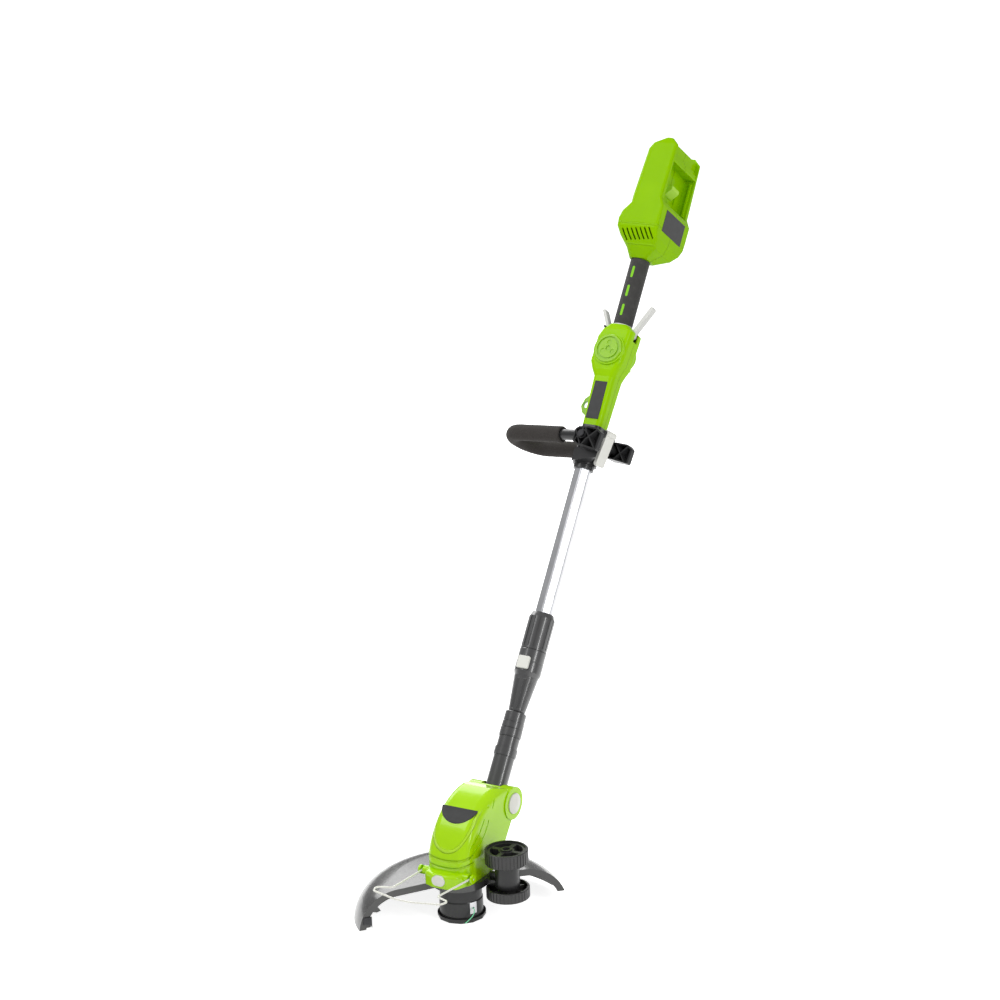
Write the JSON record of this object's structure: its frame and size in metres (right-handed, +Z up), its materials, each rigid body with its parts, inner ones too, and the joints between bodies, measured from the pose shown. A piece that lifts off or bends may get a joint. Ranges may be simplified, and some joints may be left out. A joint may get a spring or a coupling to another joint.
{
  "type": "string trimmer",
  "caption": "Cordless string trimmer with a tilting motor head, round line spool, half guard, edge roller, telescopic shaft, loop front handle, rear grip and open battery bay.",
  "frame": {"origin": "centre of the spool's underside, where the trimmer rests on the ground", "axes": "+Z up along the spool's axis, -Y towards the front of the motor head, +X towards the side with the edge roller"},
  "size_m": [0.3092, 1.0146, 1.1656],
  "materials": {
    "green_plastic": "gloss",
    "dark_plastic": "satin",
    "guard_plastic": "satin",
    "pale_plastic": "satin",
    "black_foam": "matt",
    "grip_rubber": "matt",
    "label": "satin",
    "aluminium": "satin",
    "steel": "satin",
    "white_wire": "gloss",
    "brass": "satin",
    "iron": "satin",
    "line_nylon": "satin"
  },
  "bodies": {
    "shaft": {"main_tube": "aluminium", "taper_sleeve": "dark_plastic", "lock_ring": "dark_plastic", "handle_clamp": "dark_plastic", "handle_bolt": "steel", "end_ring": "dark_plastic", "switch_housing_left": "green_plastic", "switch_housing_right": "green_plastic", "strap_eye": "green_plastic", "side_strip": "label", "side_caps": "green_plastic", "handle_screws": "steel", "micro_switch": "dark_plastic", "lever_pins": "steel", "grip_ring": "pale_plastic", "rubber_grip": "grip_rubber", "grip_inlays": "green_plastic", "battery_housing_left": "green_plastic", "battery_housing_right": "green_plastic", "rating_plate": "label", "controller_board": "dark_plastic", "battery_contacts": "brass", "contact_block": "green_plastic"},
    "telescope_nut": {"twist_nut": "dark_plastic"},
    "telescope_button": {"lock_button": "pale_plastic"},
    "inner_shaft": {"inner_tube": "aluminium", "guide_bush": "dark_plastic", "swivel_collar": "dark_plastic"},
    "lower_shaft": {"lower_tube": "dark_plastic"},
    "head": {"motor_housing_left": "green_plastic", "motor_housing_right": "green_plastic", "badge_plate": "label", "motor_can": "steel", "motor_bearings": "steel", "housing_screws": "steel", "pivot_pin": "steel", "button_springs": "steel", "guard_shell": "guard_plastic", "guard_screws": "steel", "line_cutter": "steel", "roller_bracket": "dark_plastic"},
    "tilt_button": {"pivot_button": "pale_plastic"},
    "nose_button": {"front_button": "pale_plastic"},
    "plant_bow": {"wire_bow": "white_wire"},
    "spool": {"spool_cap": "dark_plastic", "spool_drum": "dark_plastic", "line_eyelet": "steel", "line_reel": "dark_plastic", "wound_line": "line_nylon", "motor_spindle": "steel", "motor_rotor": "iron", "cutting_line": "line_nylon"},
    "roller": {"roller_axle": "steel", "lower_wheel": "dark_plastic", "upper_wheel": "dark_plastic"},
    "throttle": {"trigger": "pale_plastic"},
    "safety": {"lock_off": "pale_plastic"},
    "front_handle": {"handle_frame": "dark_plastic", "foam_grip": "black_foam"},
    "clamp_lever": {"cam_lever": "pale_plastic"}
  },
  "joints": [
    {"name": "telescope_twist", "type": "hinge", "parent": "shaft", "child": "telescope_nut", "pos_m": [0, 0.28205, 0.40606], "axis": [0, 0.5764, 0.8171], "range_deg": [0, 90]},
    {"name": "telescope_press", "type": "slide", "parent": "shaft", "child": "telescope_button", "axis": [0, 0.8171, -0.5764], "range_m": [0, 0.003], "stiffness_N_per_m": 600, "springref_m": -0.001},
    {"name": "telescope", "type": "slide", "parent": "shaft", "child": "inner_shaft", "axis": [0, -0.5764, -0.8171], "range_m": [0, 0.2]},
    {"name": "shaft_turn", "type": "hinge", "parent": "inner_shaft", "child": "lower_shaft", "pos_m": [0, 0.112, 0.165], "axis": [0, -0.5764, -0.8171], "range_deg": [0, 90]},
    {"name": "head_tilt", "type": "hinge", "parent": "lower_shaft", "child": "head", "pos_m": [0, 0.112, 0.165], "axis": [1, 0, 0], "range_deg": [0, 34]},
    {"name": "tilt_press", "type": "slide", "parent": "head", "child": "tilt_button", "axis": [-1, 0, 0], "range_m": [0, 0.003], "stiffness_N_per_m": 600, "springref_m": -0.001},
    {"name": "nose_press", "type": "slide", "parent": "head", "child": "nose_button", "axis": [0, 1, 0], "range_m": [0, 0.0025], "stiffness_N_per_m": 600, "springref_m": -0.001},
    {"name": "bow_fold", "type": "hinge", "parent": "head", "child": "plant_bow", "pos_m": [0, -0.04, 0.089], "axis": [-1, 0, 0], "range_deg": [0, 70]},
    {"name": "spool_spin", "type": "hinge", "parent": "head", "child": "spool", "pos_m": [0, 0, 0.03], "axis": [0, 0, 1], "continuous": true},
    {"name": "roller_spin", "type": "hinge", "parent": "head", "child": "roller", "pos_m": [0.084, 0.014, 0.086], "axis": [0, 0, 1], "continuous": true},
    {"name": "trigger_squeeze", "type": "hinge", "parent": "shaft", "child": "throttle", "pos_m": [0.024, 0.59505, 0.84977], "axis": [0, -0.8171, 0.5764], "range_deg": [0, 14], "stiffness_Nm_per_rad": 0.6, "springref_deg": -14.32},
    {"name": "lock_off_press", "type": "hinge", "parent": "shaft", "child": "safety", "pos_m": [-0.022, 0.59851, 0.85467], "axis": [0, 0.8171, -0.5764], "range_deg": [0, 10], "stiffness_Nm_per_rad": 0.5, "springref_deg": -11.46},
    {"name": "handle_tilt", "type": "hinge", "parent": "shaft", "child": "front_handle", "pos_m": [0.02144, 0.47572, 0.68919], "axis": [0.225, 0.7962, -0.5617], "range_deg": [-30, 40]},
    {"name": "clamp_release", "type": "hinge", "parent": "shaft", "child": "clamp_lever", "pos_m": [0.03849, 0.48173, 0.70454], "axis": [-0.225, -0.7962, 0.5617], "range_deg": [0, 100]}
  ]
}
